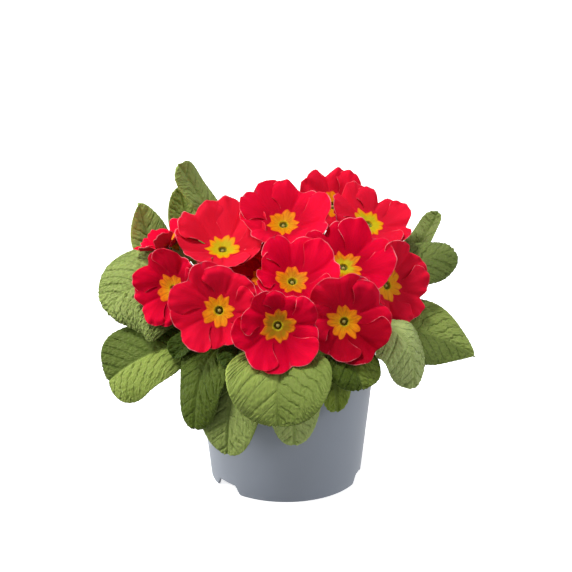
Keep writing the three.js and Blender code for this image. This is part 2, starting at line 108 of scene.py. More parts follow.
def bezier(handles, t):
    # points and unit tangents of a cubic
    a, b, c, d = [np.asarray(h, float) for h in handles]
    t = np.asarray(t, float).reshape(-1, 1)
    u = 1 - t
    points = u ** 3 * a + 3 * u * u * t * b + 3 * u * t * t * c + t ** 3 * d
    along = 3 * u * u * (b - a) + 6 * u * t * (c - b) + 3 * t * t * (d - c)
    return points, unit(along)


def gridNormals(points):
    along = np.gradient(points, axis=0)
    across = np.gradient(points, axis=1)
    return unit(np.cross(along, across))


def hashed(i, j, seed):
    # a repeatable number from 0 to 1 for each pair of whole numbers
    n = np.sin(i * 127.1 + j * 311.7 + seed * 74.7) * 43758.5453
    return n - np.floor(n)


def cellRise(x, y, seed, soft):
    # pillows between the seams of irregular cells, 0 on a seam and 1 on top
    ix, iy = np.floor(x), np.floor(y)
    nearest = np.full(np.shape(x), 9.0)
    second = nearest.copy()
    for a in (-1, 0, 1):
        for b in (-1, 0, 1):
            u, v = ix + a, iy + b
            px = u + 0.5 + 0.75 * (hashed(u, v, seed) - 0.5)
            py = v + 0.5 + 0.75 * (hashed(u, v, seed + 5) - 0.5)
            away = np.hypot(px - x, py - y)
            second = np.where(away < nearest, nearest, np.minimum(second, away))
            nearest = np.minimum(nearest, away)
    return smooth(0, soft, second - nearest)


def drift(x, y, seed):
    # a slow wandering value between about -1 and 1
    total = 0
    for k in range(1, 4):
        a, b, c = [hashed(k, j, seed) for j in (1, 2, 3)]
        total = total + np.sin(x * (0.6 + a) * k + y * (0.6 + b) * k + 6.28 * c) / k
    return total / 1.8


# meshes

class Shape:
    # points, faces and marks gathered into one mesh; a mark that a part lacks is 0 there
    def __init__(self):
        self.points, self.faces, self.marks, self.count = [], [], [], 0

    def add(self, points, faces, **marks):
        self.marks.append((points.shape[:-1], marks))
        self.points.append(points.reshape(-1, 3))
        self.faces += [f + self.count for f in faces]
        self.count += len(self.points[-1])

    def allMarks(self):
        # each mark's name and its value at every point
        for key in dict.fromkeys(key for _, marks in self.marks for key in marks):
            parts = [np.broadcast_to(marks.get(key, 0), size).ravel() for size, marks in self.marks]
            yield key, np.concatenate(parts).astype(np.float32)


made = {"triangles": 0, "pieces": 0}


def makeMesh(name, shape, rounded=True, matrix=None):
    points = np.concatenate(shape.points)
    if matrix is not None:
        points = points @ matrix[:3, :3].T + matrix[:3, 3]
    mesh = bpy.data.meshes.new(name)
    faces = [face for part in shape.faces for face in part.tolist()]
    mesh.from_pydata((points * mm).tolist(), [], faces, shade_flat=not rounded)
    for key, values in shape.allMarks():
        mesh.attributes.new(key, "FLOAT", "POINT").data.foreach_set("value", values)
    return mesh


def placed(name, data):
    # an object of the scene
    thing = bpy.data.objects.new(name, data)
    scene.collection.objects.link(thing)
    return thing


def makePiece(name, shape, finish, node, matrix=None):
    mesh = makeMesh(name, shape, matrix=matrix)
    mesh.materials.append(finish)
    piece = placed(name, mesh)
    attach(piece, "root")
    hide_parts(node)
    made["triangles"] += sum(len(f) * (f.shape[1] - 2) for f in shape.faces)
    made["pieces"] += 1
    return piece


def gridFaces(rows, columns, closed=False, first=0):
    # quads over a grid of points; a closed one joins its last column to its first
    i = np.arange(rows - 1)[:, None]
    j = np.arange(columns if closed else columns - 1)[None, :]
    a = i * columns + j
    b = i * columns + (j + 1) % columns
    quads = np.stack([a, a + columns, b + columns, b], axis=-1)
    return quads.reshape(-1, 4) + first


def tube(shape, rings, caps=True, **marks):
    # a closed solid through rings, shaped (rings, points, 3), with a fan of triangles at each end
    rows, columns = rings.shape[:2]
    middles = np.stack([rings[0].mean(0), rings[-1].mean(0)])
    points = np.concatenate([rings.reshape(-1, 3), middles])
    faces = [gridFaces(rows, columns, closed=True)[:, ::-1]]
    ring = np.arange(columns)
    for centre, row, way in ((0, 0, -1), (1, rows - 1, 1)):
        fan = [np.full(columns, rows * columns + centre), ring, np.roll(ring, -1)]
        fan = np.stack(fan, axis=-1) + (0, row * columns, row * columns)
        faces += [fan[:, ::way]] if caps else []
    full = {}
    for key, value in marks.items():
        flat = np.broadcast_to(value, (rows, columns)).ravel()
        full[key] = np.concatenate([flat, [flat[0], flat[-1]]])
    shape.add(points, faces, **full)


def blade(shape, top, under, step, **marks):
    # a thin closed solid: a fine top, an underside with every step-th row and column, and a rim
    rows, columns = top.shape[:2]
    low = under[::step, ::step]
    lowRows, lowColumns = low.shape[:2]
    first = rows * columns
    faces = [gridFaces(rows, columns), gridFaces(lowRows, lowColumns, first=first)[:, ::-1]]
    # along each side, the start and stride of its fine points and of its coarse ones, its number of
    # coarse points, and the way its faces turn
    for fine, fineStride, coarse, stride, count, way in (
            (0, columns, 0, lowColumns, lowRows, 1),
            (columns - 1, columns, lowColumns - 1, lowColumns, lowRows, -1),
            (0, 1, 0, 1, lowColumns, -1),
            (first - columns, 1, (lowRows - 1) * lowColumns, 1, lowColumns, 1)):
        n = np.arange(count - 1)
        upper = [fine + fineStride * (n * step + k) for k in range(step, -1, -1)]
        lower = [first + coarse + stride * (n + k) for k in (0, 1)]
        faces.append(np.stack(upper + lower, axis=-1)[:, ::way])
    full = {"under": np.repeat([0.0, 1.0], [first, lowRows * lowColumns])}
    for key, value in marks.items():
        value = np.broadcast_to(value, (rows, columns))
        full[key] = np.concatenate([value.ravel(), value[::step, ::step].ravel()])
    shape.add(np.concatenate([top.reshape(-1, 3), low.reshape(-1, 3)]), faces, **full)


# finishes

class Wire:
    # an output socket that takes part in sums
    def __init__(self, finish, socket):
        self.finish, self.socket = finish, socket

    def maths(self, operation, *values):
        return self.finish.node("Math", {"operation": operation}, values)

    def __add__(self, other):
        return self.maths("ADD", self, other)

    def __sub__(self, other):
        return self.maths("SUBTRACT", self, other)

    def __rsub__(self, other):
        return self.maths("SUBTRACT", other, self)

    def __mul__(self, other):
        return self.maths("MULTIPLY", self, other)

    __radd__ = __add__
    __rmul__ = __mul__

    def sine(self):
        return self.maths("SINE", self)

    def fit(self, low, high, start=0, end=1):
        # the stretch from low to high, eased and mapped to start and end
        return self.finish.node("MapRange", {"interpolation_type": "SMOOTHSTEP"},
                                (self, low, high, start, end))


class Finish:
    # a node tree built from sums, of a material or of another owner, and its dictionary
    def __init__(self, name, finish, owner=None):
        self.finish = finish
        self.owner = owner or bpy.data.materials.new(name)
        self.owner.use_nodes = True
        self.tree = self.owner.node_tree
        self.tree.nodes.clear()

    def node(self, kind, settings=None, values=(), out=0):
        box = self.tree.nodes.new("ShaderNode" + kind)
        for key, value in (settings or {}).items():
            setattr(box, key, value)
        pairs = values.items() if isinstance(values, dict) else enumerate(values)
        for key, value in pairs:
            if isinstance(value, Wire):
                self.tree.links.new(value.socket, box.inputs[key])
            else:
                box.inputs[key].default_value = value
        return Wire(self, box.outputs[out])

    def mark(self, name):
        return self.node("Attribute", {"attribute_name": name}, out="Fac")

    def place(self):
        return self.node("TexCoord", out="Object")

    def noise(self, scale, detail=3.0, rough=0.5, at=None):
        values = {"Vector": at or self.place(), "Scale": scale, "Detail": detail, "Roughness": rough}
        return self.node("TexNoise", {}, values)

    def streaks(self, along, outwards):
        # noise drawn out from the middle of a bloom to its edge
        at = self.mark("round") * along, self.mark("out") * outwards, 0
        return self.noise(1.0, 3, 0.6, at=self.node("CombineXYZ", {}, at))

    def layers(self, first, *coats):
        # a first colour, then coats of others, each with the share that it covers
        base = colour(*self.finish[first])
        for share, name in coats:
            coat = colour(*self.finish[name])
            base = self.node("Mix", {"data_type": "RGBA"}, {0: share, 6: base, 7: coat}, out=2)
        return base

    def close(self, shader, output="ShaderNodeOutputMaterial"):
        self.tree.links.new(shader.socket, self.tree.nodes.new(output).inputs["Surface"])
        return self.owner

    def surface(self, base, relief, rougher=0):
        # the shader with the finish's constants, and the finished material
        finish = {**plainFinish, **self.finish}
        weight, rough, tint = finish["sheen"]
        values = {"Base Color": base, "Roughness": finish["roughness"] + rougher,
                  "Specular IOR Level": finish["gloss"],
                  "Sheen Weight": weight, "Sheen Roughness": rough, "Sheen Tint": colour(*tint)}
        for key, value in zip(("Weight", "Radius", "Scale"), finish["bleed"]):
            values["Subsurface " + key] = value
        relief = {"Strength": 1, "Distance": finish["depth"], "Height": relief}
        values["Normal"] = self.node("Bump", {}, relief)
        return self.close(self.node("BsdfPrincipled", {}, values))


def colour(red, green, blue):
    # 0 to 255 as a screen shows it, into the shader's linear numbers
    def linear(c):
        c = c / 255
        return c / 12.92 if c <= 0.04045 else ((c + 0.055) / 1.055) ** 2.4
    return (linear(red), linear(green), linear(blue), 1.0)


# Each finish's colours as a screen shows them, and its shader's constants: the depth of its
# relief in metres, its gloss, the weight, roughness and tint of its sheen, and the weight, reach
# and scale of the light that bleeds through it.
white = (255, 255, 255)
plainFinish = dict(sheen=(0, 0.5, white), bleed=(0, (1, 0.2, 0.1), 0.05))

potFinish = dict(
    grey=(152, 159, 172), worn=(160, 166, 176),
    roughness=0.46, grain=900, depth=0.00004, gloss=0.45,
)


def potMaterial():
    f = Finish("greyPlastic", potFinish)
    drawnOut = f.node("Mapping", {"vector_type": "POINT"}, {"Vector": f.place(), "Scale": (1, 1, 0.12)})
    scuffs = f.noise(160, 5, 0.7, at=drawnOut)
    base = f.layers("grey",
        (f.noise(22, 4).fit(0.3, 0.75) * 0.35, "worn"),
        (f.mark("edge") * scuffs.fit(0.4, 0.7) * 0.5, "worn"))
    return f.surface(base, f.noise(potFinish["grain"], 2), (scuffs - 0.5) * 0.12)


compostFinish = dict(
    dark=(44, 31, 22), mid=(82, 58, 40), pale=(132, 104, 76),
    roughness=0.95, depth=0.0009, gloss=0.2,
)


def compostMaterial():
    f = Finish("peatCompost", compostFinish)
    crumb = f.noise(420, 5, 0.65)
    base = f.layers("dark",
        (f.noise(110, 3).fit(0.35, 0.7), "mid"),
        (crumb.fit(0.62, 0.72) * 0.7, "pale"))
    return f.surface(base, crumb)


leafFinish = dict(
    # lit and deep paint highlight and shade on the relief, light paints light, shadow paints shade, and
    # bloom is partly the leaf's own grey and partly painted sheen
    deep=(52, 68, 10), fresh=(124, 142, 46), lit=(158, 174, 84),
    pale=(148, 162, 80), vein=(150, 168, 88), margin=(168, 184, 88),
    under=(140, 156, 84), bloom=(166, 176, 132), lime=(142, 162, 60),
    light=(218, 234, 150), shadow=(40, 60, 3),
    roughness=0.56, depth=0.0007, gloss=0.1, sheen=(0.02, 0.4, white),
    bleed=(0.12, (0.4, 0.8, 0.15), 0.0015),
)


def leafMaterial():
    f = Finish("leafSkin", leafFinish)
    rise, edge, lane, away, puff = [f.mark(key) for key in ("rise", "edge", "lane", "away", "puff")]
    groove = lane.maths("PINGPONG", lane, 0.5).fit(0, 0.13, 1, 0)
    groove = groove * away.fit(0.5, 3) * edge.fit(0.5, 4)
    # fine waves that run in from the margin
    waves = lane * (6 * math.pi) + f.noise(90, 2) * 5
    crimp = waves.sine() * edge.fit(1.5, 13, 1, 0) * edge.fit(0, 1.5)
    crimp = crimp * f.noise(55, 2).fit(0.3, 0.6) * f.mark("crimp")
    patch = f.noise(45, 3)
    fleck = f.noise(700, 3, 0.6)
    # a net of fine veins in cells that follow the side veins
    cells = f.node("CombineXYZ", {}, (lane * 3.2 + patch * 1.5, away * 0.45, 0))
    inCell = f.node("TexVoronoi", {"feature": "DISTANCE_TO_EDGE", "voronoi_dimensions": "2D"},
                    {"Vector": cells, "Scale": 1, "Randomness": 0.9}, out="Distance")
    net = inCell.fit(0.015, 0.09, 1, 0) * edge.fit(-0.5, 1)
    base = f.layers("fresh",
        (patch.fit(0.35, 0.7) * 0.35, "pale"),
        (f.mark("lime") * 0.7, "lime"),
        # tone: partly the leaf's own grey-green, partly painted sheen where light grazes it and painted
        # light on leaves in shade
        (f.mark("tone").fit(0, 1, 0, 0.8), "bloom"),
        # painted light on leaves that lie in shade
        (f.mark("light"), "light"),
        # painted highlight on the tops of the raised cells and painted shade in the pits between them
        (rise.fit(0.6, 1, 0, 0.45), "lit"),
        (rise.fit(0.05, 0.5, 0.42, 0), "deep"),
        # painted shade in the troughs of the crimped waves and in the grooves along the side veins
        (crimp.fit(-1, 0, 0.3, 0), "deep"),
        (groove * puff.fit(0.2, 0.8, 0.12, 0.4), "deep"),
        (f.mark("vein") * 0.5, "vein"),
        (net * patch.fit(0.3, 0.6) * puff * 0.4, "vein"),
        (edge.fit(0, 0.8, 0.6, 0), "margin"),
        (f.mark("under") * 0.8, "under"),
        # painted shade on whole leaves, on one half of a leaf and on each leaf's base under the blooms
        (f.mark("dark") * 0.85, "shadow"))
    relief = rise * 0.4 + fleck * 0.12 + crimp * 0.35 + inCell.fit(0, 0.4) * puff * 0.55
    return f.surface(base, relief - groove * 0.5, (fleck - 0.5) * 0.2)


petalFinish = dict(
    deep=(138, 0, 18), red=(206, 0, 44), scarlet=(226, 4, 50), lit=(255, 40, 64),
    rim=(255, 142, 150), back=(206, 40, 62), throat=(158, 168, 66),
    roughness=0.7, depth=0.00018, gloss=0.03, sheen=(0.03, 0.35, (255, 60, 80)),
    bleed=(0.2, (1, 0.12, 0.16), 0.0018),
)


def petalMaterial():
    f = Finish("petalVelvet", petalFinish)
    out, streak = f.mark("out"), f.streaks(26, 2.2)
    base = f.layers("red",
        # lighter towards the edge and darker towards the middle: partly the petal's own colour, partly
        # painted shade in the cup
        (out.fit(0.25, 0.95), "scarlet"),
        (out.fit(0.2, 0.75, 0.5, 0), "deep"),
        (streak.fit(0.4, 0.75) * 0.18, "deep"),
        (f.noise(90, 3).fit(0.4, 0.8) * 0.25, "scarlet"),
        # painted light on whole blooms and painted shade on single petals
        (f.mark("lit") * 0.6, "lit"),
        (f.mark("shade") * 0.8, "deep"),
        (f.mark("under") * 0.7, "back"),
        (f.mark("rim"), "rim"),
        (f.mark("throat"), "throat"))
    return f.surface(base, streak * 0.6 + f.noise(1500, 2) * 0.4)


eyeFinish = dict(
    orange=(252, 134, 0), yellow=(238, 156, 0), lime=(196, 186, 14),
    olive=(136, 112, 2), lit=(255, 172, 4), brown=(176, 84, 0),
    throat=(186, 142, 48), pin=(172, 158, 86), tip=(226, 76, 4),
    roughness=0.6, depth=0.0003, gloss=0.12, bleed=(0.15, (1, 0.6, 0.1), 0.001),
)


def eyeMaterial():
    f = Finish("eyeGold", eyeFinish)
    out, patch, streak = f.mark("out"), f.noise(380, 3), f.streaks(9, 1.6)
    base = f.layers("yellow",
        (out.fit(0.3, 0.85), "orange"),
        (patch.fit(0.5, 0.7) * 0.35, "tip"),
        (f.mark("olive") * out.fit(0.5, 0.95, 1, 0.1), "olive"),
        (streak.fit(0.42, 0.65) * 0.55, "brown"),
        # painted light on eyes that lie in shade
        (f.mark("lit") * 0.8, "lit"),
        (f.mark("spoke") * 0.6, "brown"),
        (f.mark("glow") * 0.9, "lime"),
        (out.fit(0.84, 1, 0, 0.85), "tip"),
        (f.mark("hole"), "throat"),
        (f.mark("pin"), "pin"))
    return f.surface(base, patch + streak)


stalkFinish = dict(
    green=(140, 164, 84), pale=(182, 196, 124), rib=(104, 134, 56), blush=(150, 92, 70),
    roughness=0.6, depth=0.0001, gloss=0.35, sheen=(0.2, 0.5, white),
    bleed=(0.15, (0.5, 0.9, 0.2), 0.001),
)


def stalkMaterial():
    f = Finish("stalkSkin", stalkFinish)
    base = f.layers("green",
        (f.noise(120, 3).fit(0.3, 0.7), "pale"),
        (f.mark("rib") * 0.7, "rib"),
        (f.mark("blush") * 0.35, "blush"))
    return f.surface(base, f.noise(900, 2))


potSkin, peat, leafSkin = potMaterial(), compostMaterial(), leafMaterial()
petalSkin, eyeSkin, stalkSkin = petalMaterial(), eyeMaterial(), stalkMaterial()
print("finishes made")


# pot

pot = dict(
    height=84, footRadius=43.3, flare=0.108, wall=1.2,
    lipHeight=5, lipStep=0.9, floorUnderside=5.8, floorThickness=1.4,
    notches=(-50.7, 76.3, 192.8), notchHeight=5.2, notchFoot=14, notchTop=8.5,
    drainRadius=3.5, drainReach=29, columns=360,
)


def wallRadius(height):
    return pot["footRadius"] + pot["flare"] * height


def footHeight(azimuth):
    # how high the foot is cut away
    apart = [np.abs((azimuth - notch + 540) % 360 - 180) for notch in pot["notches"]]
    near = np.minimum.reduce(apart)
    return pot["notchHeight"] * (1 - smooth(pot["notchTop"], pot["notchFoot"], near))


def makePot():
    azimuth = around(pot["columns"])
    foot = footHeight(azimuth)
    wall, top, under = pot["wall"], pot["height"], pot["floorUnderside"]
    lip = top - pot["lipHeight"]
    floorTop = under + pot["floorThickness"]
    footRadius, lipRadius = wallRadius(foot), wallRadius(lip)
    lipOuter, topOuter = lipRadius + pot["lipStep"], wallRadius(top) + pot["lipStep"]

    def inside(height):
        return wallRadius(height) - wall

    rises = [blend(foot + 0.6, lip, share) for share in np.linspace(0, 1, 18)]
    # the radius and height of each ring from the middle of the underside, out, up and back in,
    # and whether it is on an edge
    profile = [
        (0.02, under, 0), (16, under, 0), (inside(under) - 3, under, 0),
        (inside(under) - 0.8, under, 0),
        (footRadius - wall, foot + 0.25, 1), (footRadius - wall * 0.75, foot, 1),
        (footRadius - wall * 0.25, foot, 1), (footRadius, foot + 0.25, 1),
        *[(wallRadius(rise), rise, 0) for rise in rises],
        (lipRadius + 0.15, lip + 0.05, 1), (lipOuter - 0.2, lip + 0.3, 1), (lipOuter, lip + 0.6, 1),
        (topOuter, top - 0.5, 1), (topOuter - 0.4, top - 0.05, 1),
        (inside(top) + 0.4, top, 1), (inside(top), top - 0.4, 1), (inside(60), 60, 0),
        (inside(floorTop + 1), floorTop + 1, 0), (inside(floorTop) - 1, floorTop, 0),
        (0.02, floorTop, 0),
    ]
    shape = Shape()
    tube(shape, np.stack([level(azimuth, radius, height) for radius, height, _ in profile]),
         edge=np.array([mark for _, _, mark in profile], float)[:, None])
    piece = makePiece("potShell", shape, potSkin, "pot")
    # a drain hole through the floor behind each notch
    turn = np.radians(around(40))
    for notch in pot["notches"]:
        at = outward(notch) * pot["drainReach"]
        drill = Shape()
        tube(drill, np.stack([circle(turn, pot["drainRadius"], height) + at
                              for height in (under - 3, floorTop + 3)]))
        cutter = placed("drain", makeMesh("drain", drill, rounded=False))
        cut = piece.modifiers.new("drain", "BOOLEAN")
        cut.operation, cut.solver, cut.object = "DIFFERENCE", "EXACT", cutter
        depsgraph = bpy.context.evaluated_depsgraph_get()
        carved = bpy.data.meshes.new_from_object(piece.evaluated_get(depsgraph))
        piece.modifiers.clear()
        piece.data = carved
        bpy.data.meshes.remove(cutter.data)
    piece.data.name = "potShell"


makePot()
print("pot made")


# compost

soil = dict(
    clear=0.35,  # between the compost and the pot's wall
    edge=74, mound=2.2, crumb=1.3, grain=0.5, rows=60, columns=200, seed=3,
)


def makeCompost():
    azimuth = around(soil["columns"])

    def fits(height):
        return wallRadius(height) - pot["wall"] - soil["clear"]

    floorTop = pot["floorUnderside"] + pot["floorThickness"] + 0.3
    rings = [level(azimuth, fits(height), height) for height in (floorTop, soil["edge"] - 1.5)]
    for share in np.linspace(1, 0.02, soil["rows"]):
        points = level(azimuth, (fits(soil["edge"]) - 0.4) * share, 0)
        x, y = points[:, 0], points[:, 1]
        mound = soil["mound"] * smooth(1.0, 0.55, share)
        lumps = soil["crumb"] * drift(x * 0.35, y * 0.35, soil["seed"])
        grains = cellRise(x / 2.1, y / 2.1, soil["seed"], 0.5)
        grains = grains + 0.6 * cellRise(x / 1.1, y / 1.1, 9, 0.5)
        points[:, 2] = soil["edge"] + mound + 0.5 * lumps + soil["grain"] * (grains - 1)
        rings.append(points)
    shape = Shape()
    tube(shape, np.stack(rings))
    makePiece("compostBed", shape, peat, "compost")


makeCompost()
print("compost made")


# leaves

leafForm = dict(
    rings=(14.6, 22.4), root=70, collar=78, stalkHalfWidth=2.3, stalkHalf=1.25,
    start=0.18,  # where the blade opens, as a share of the length
    bladeHalf=0.26,  # half the blade's thickness
    ribDrop=1.3,  # how far the midrib stands out underneath
    spacing=0.85,  # between the points of the top side
    veinGap=7.5, veinSlant=0.8, veinBend=0.006,
    puff=1.5, pleat=1.3, scallop=0.55, scallopGap=3.4,
)

# Each leaf's azimuth and ring, the reach and height of its rib's two handles and tip, its half
# width, the turn about its rib, and the fold and downward curl of its left and right. Then what
# differs from the usual leaf: the rib's sideways swing, the outline (widest, blunt), the wave of
# the margin, how puffed and crimped the skin is and how pale its veins, how grey (tone, partly
# painted sheen and light), how limy, how much painted light it has (light) and how much painted
# shade (dark), and how much painted shade darkens its left and right halves.
leafColumns = ("azimuth", "ring", "climb", "arch", "tip", "width", "roll", "fold", "curl")
usualLeaf = dict(swing=0, widest=0.7, blunt=2.5, wave=1.4, puff=0.6, crimp=0.4, veins=0.12, tone=0,
                 lime=0, light=0, dark=0, halves=(0, 0))
leaves = [
    ((-94, 1, (34, 102), (82, 135), (103, 96), 37, -42, (4, 8), (30, 50)),
     dict(widest=0.64, tone=0.4, puff=0.85, crimp=1)),
    ((-68, 1, (42, 95), (81, 89), (102, 61), 24, -32, (14, 12), (10, 40)),
     dict(swing=-16, widest=0.72, blunt=3.2, tone=0.25, lime=0.3, puff=0.55, halves=(0.75, 0.05),
          crimp=0.8)),
    ((-63, 0, (28, 92), (56, 98), (70, 84), 12, 0, (20, 30), (-30, 20)), dict(dark=1.1)),
    ((-45, 1, (38, 98), (71, 106), (72, 49), 18, -4, (8, 12), (30, 30)), dict(dark=0.85, puff=0.45)),
    ((-29, 1, (40, 88), (64, 106), (67, 37), 22, 0, (10, 12), (12, 12)),
     dict(wave=0.8, dark=0.1, lime=0.3, tone=0.4, puff=0.45, veins=0.8)),
    ((-3, 0, (42, 98), (80, 100), (83, 65), 30, 0, (22, 20), (10, 10)),
     dict(blunt=2.1, lime=0.9, puff=0.35, tone=0.2, light=0.12, halves=(0, 0.45), crimp=1.6)),
    ((4, 1, (38, 88), (64, 106), (62, 44), 16, 0, (10, 10), (12, 12)),
     dict(wave=0.8, lime=1, tone=0.2, light=0.7)),
    ((26, 1, (38, 88), (64, 104), (63, 62), 12, -4, (10, 10), (12, 12)),
     dict(wave=0.8, dark=0.1, lime=0.4)),
    ((33, 0, (36, 96), (70, 98), (77, 79), 19, 0, (12, 10), (35, 35)),
     dict(dark=0.45, halves=(0.45, 0))),
    ((59, 1, (40, 106), (88, 122), (83, 70), 19, 4, (-30, 2), (10, 30)),
     dict(lime=0.6, tone=0.5, light=0.5, halves=(0, 0.12), crimp=1)),
    ((88, 1, (38, 96), (80, 94), (108, 74), 27, 42, (6, 10), (10, 20)),
     dict(widest=0.6, blunt=1.3, tone=0.35, lime=0.7, halves=(0.6, 0))),
    ((113, 0, (34, 98), (82, 122), (107, 121), 18, 24, (20, 12), (60, 40)),
     dict(tone=0.4, puff=0.55, dark=0.4, halves=(0.25, 0))),
    ((127, 1, (42, 92), (96, 104), (113, 136), 10.5, 0, (30, 32), (30, 30)),
     dict(widest=0.8, tone=0.4, dark=0.25, puff=0.5)),
    ((-158, 0, (38, 98), (82, 136), (80, 171), 10.5, -2, (12, 24), (30, 30)),
     dict(swing=29, widest=0.84, lime=0.9, tone=0.4, puff=0.35)),
    ((-142, 1, (38, 94), (90, 104), (94, 152), 15, -2, (22, 20), (30, 30)),
     dict(swing=4, widest=0.8, lime=1, light=0.3, puff=0.4)),
    ((-124, 1, (44, 90), (98, 98), (104, 145), 17, -2, (20, 20), (30, 30)),
     dict(widest=0.75, blunt=2, tone=0.3, lime=1, light=0.25, puff=0.3)),
    ((147, 1, (38, 90), (78, 98), (92, 72), 17, 0, (14, 16), (40, 40)), dict()),
    ((170, 0, (30, 90), (74, 92), (86, 74), 18, -2, (14, 12), (40, 40)), dict()),
    ((194, 1, (38, 90), (78, 98), (88, 70), 18, 0, (14, 14), (40, 40)), dict()),
    ((-30, 0, (28, 94), (48, 100), (64, 88), 11, 0, (20, 20), (20, 20)), dict(dark=1.1)),
]
leaves = [{**usualLeaf, **dict(zip(leafColumns, form)), **more} for form, more in leaves]


def leafRib(leaf):
    azimuth, swing = leaf["azimuth"], leaf["swing"]
    return [level(azimuth, leafForm["rings"][leaf["ring"]], leafForm["collar"]),
            level(azimuth, *leaf["climb"]),
            level(azimuth + 0.4 * swing, *leaf["arch"]),
            level(azimuth + swing, *leaf["tip"])]


def leafHalfWidth(leaf, share):
    widest, blunt, stalk = leaf["widest"], leaf["blunt"], leafForm["stalkHalfWidth"]
    opening = blend(stalk, leaf["width"], smooth(leafForm["start"], widest, share))
    end = ramp(widest, 1, share)
    return np.where(share < widest, opening, leaf["width"] * (1 - end ** blunt) ** (1 / blunt))


def leafSurface(leaf, share, side):
    # the middle of the blade over share (down its length) and side (-1 to 1 across it)
    centre, along = bezier(leafRib(leaf), share)
    across = sideways(leaf["azimuth"] + leaf["swing"] * share)
    across = unit(across - along * dot(across, along))
    across = turned(across, along, np.radians(leaf["roll"] * share)[:, None])
    up = np.cross(along, across)
    share, side = share[:, None], side[None, :]
    halfWidth = leafHalfWidth(leaf, share)
    opened = smooth(0, leaf["widest"], share)
    left = side < 0
    fold = np.radians(np.where(left, *leaf["fold"])) * opened
    curl = np.radians(np.where(left, *leaf["curl"])) * opened + 1e-4
    reach = np.abs(side)
    flatward = halfWidth * (np.sin(fold) - np.sin(fold - curl * reach)) / curl
    rise = halfWidth * (np.cos(fold - curl * reach) - np.cos(fold)) / curl
    ripple = np.sin(2 * np.pi * (3 * share + np.where(left, 0.35, 0)) + leaf["azimuth"])
    rise = rise + leaf["wave"] * opened * reach ** 2 * ripple
    return (centre[:, None] + across[:, None] * (np.sign(side) * flatward)[..., None]
            + up[:, None] * rise[..., None])


def leafShares(leaf):
    # rows that stay about one spacing apart along the rib and round the end
    widest, spacing = leaf["widest"], leafForm["spacing"]
    t = np.linspace(0, 1, 400)
    length = travelled(bezier(leafRib(leaf), t)[0])
    opens, broadest = np.interp((leafForm["start"] + 0.04, widest), t, length)
    stalk = np.linspace(0, opens, 12, endpoint=False)
    body = np.arange(opens, broadest, spacing * 1.1)
    count = int(0.5 * np.pi * math.hypot(length[-1] - broadest, leaf["width"]) / 1.414 / spacing)
    tip = np.sin(np.radians(np.linspace(0, 87, count)))
    shares = np.interp(np.concatenate([stalk, body]), length, t)
    shares = np.concatenate([shares, blend(widest, 1, tip)])
    return shares[1:] if len(shares) % 2 == 1 else shares


